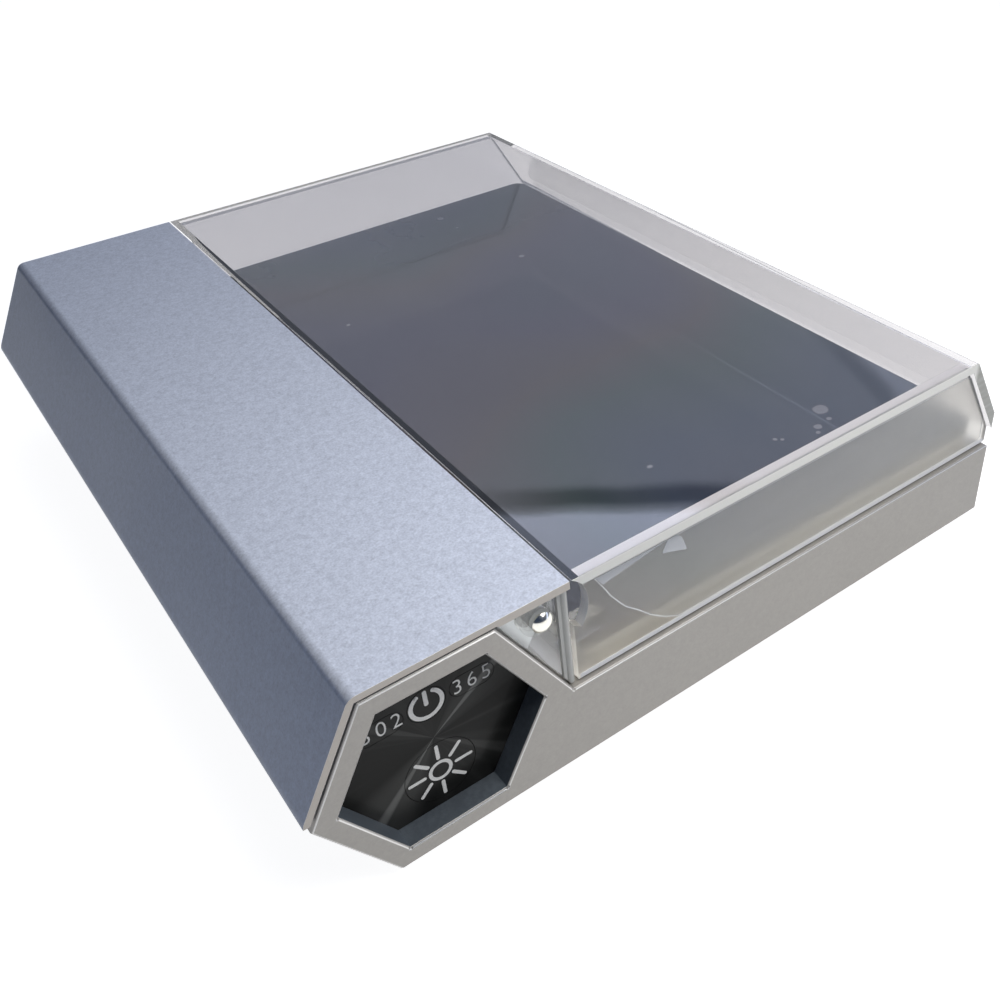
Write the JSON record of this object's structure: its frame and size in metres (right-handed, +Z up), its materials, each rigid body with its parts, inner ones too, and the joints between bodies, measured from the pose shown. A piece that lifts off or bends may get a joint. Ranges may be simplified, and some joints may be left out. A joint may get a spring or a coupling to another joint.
{
  "type": "uv transilluminator",
  "caption": "Benchtop UV transilluminator: low slab with raised dark filter glass, hexagonal control spine and hinged clear acrylic cover.",
  "frame": {"origin": "centre of the bounding box, on the lower faces of the rubber feet", "axes": "+X from the hexagonal spine towards the free edge of the cover, +Y from the control end to the rear end, +Z up"},
  "size_m": [0.215, 0.25, 0.0586],
  "materials": {
    "anodised_dark": "satin",
    "blasted_beige": "satin",
    "blasted_blue": "satin",
    "blasted_light": "satin",
    "rim_metal": "satin",
    "seal_rubber": "matte",
    "filter_glass": "polished",
    "diffuser": "satin",
    "reflector": "polished",
    "white_board": "satin",
    "led_package": "gloss",
    "plain_aluminium": "milled",
    "green_board": "satin",
    "components": "satin",
    "panel_black": "gloss",
    "ribbon": "satin",
    "inlet_black": "satin",
    "contact": "polished",
    "clear_plate": "polished",
    "pin_steel": "polished",
    "washer": "satin",
    "foot_rubber": "matte",
    "screw_steel": "satin",
    "clear_cover": "polished",
    "clear_cheek": "satin",
    "bush_nylon": "satin",
    "key_black": "gloss"
  },
  "bodies": {
    "base": {"base_pan": "anodised_dark", "front_frame": "blasted_beige", "rear_frame": "blasted_beige", "spine_cover": "blasted_blue", "deck_sheet": "blasted_light", "platform_rim": "rim_metal", "glass_gasket": "seal_rubber", "filter_glass": "filter_glass", "diffuser_plate": "diffuser", "reflector_tray": "reflector", "led_board": "white_board", "leds_302": "led_package", "leds_365": "led_package", "heat_spreader": "plain_aluminium", "driver_board": "green_board", "driver_parts": "components", "control_panel": "panel_black", "control_board": "green_board", "key_switches": "plain_aluminium", "ribbon_cable": "ribbon", "rear_panel": "panel_black", "dc_inlet": "inlet_black", "inlet_contact": "contact", "front_side_plate": "clear_plate", "rear_side_plate": "clear_plate", "front_hinge_block": "plain_aluminium", "rear_hinge_block": "plain_aluminium", "front_hinge_pin": "pin_steel", "rear_hinge_pin": "pin_steel", "friction_washers": "washer", "rubber_feet": "foot_rubber", "frame_screws": "screw_steel"},
    "cover": {"cover_sheet": "clear_cover", "front_cheek": "clear_cheek", "rear_cheek": "clear_cheek", "front_arm": "clear_plate", "rear_arm": "clear_plate", "hinge_bushes": "bush_nylon"},
    "power_key": {"power_key": "key_black"},
    "key_302": {"key_302": "key_black"},
    "key_365": {"key_365": "key_black"},
    "brightness_key": {"brightness_key": "key_black"}
  },
  "joints": [
    {"name": "cover_hinge", "type": "hinge", "parent": "base", "child": "cover", "pos_m": [-0.04733, 0, 0.04895], "axis": [0, -1, 0], "range_deg": [0, 68]},
    {"name": "power_key_press", "type": "slide", "parent": "base", "child": "power_key", "axis": [0, 1, 0], "range_m": [0, 0.0004], "stiffness_N_per_m": 3000},
    {"name": "key_302_press", "type": "slide", "parent": "base", "child": "key_302", "axis": [0, 1, 0], "range_m": [0, 0.0004], "stiffness_N_per_m": 3000},
    {"name": "key_365_press", "type": "slide", "parent": "base", "child": "key_365", "axis": [0, 1, 0], "range_m": [0, 0.0004], "stiffness_N_per_m": 3000},
    {"name": "brightness_key_press", "type": "slide", "parent": "base", "child": "brightness_key", "axis": [0, 1, 0], "range_m": [0, 0.0004], "stiffness_N_per_m": 3000}
  ]
}
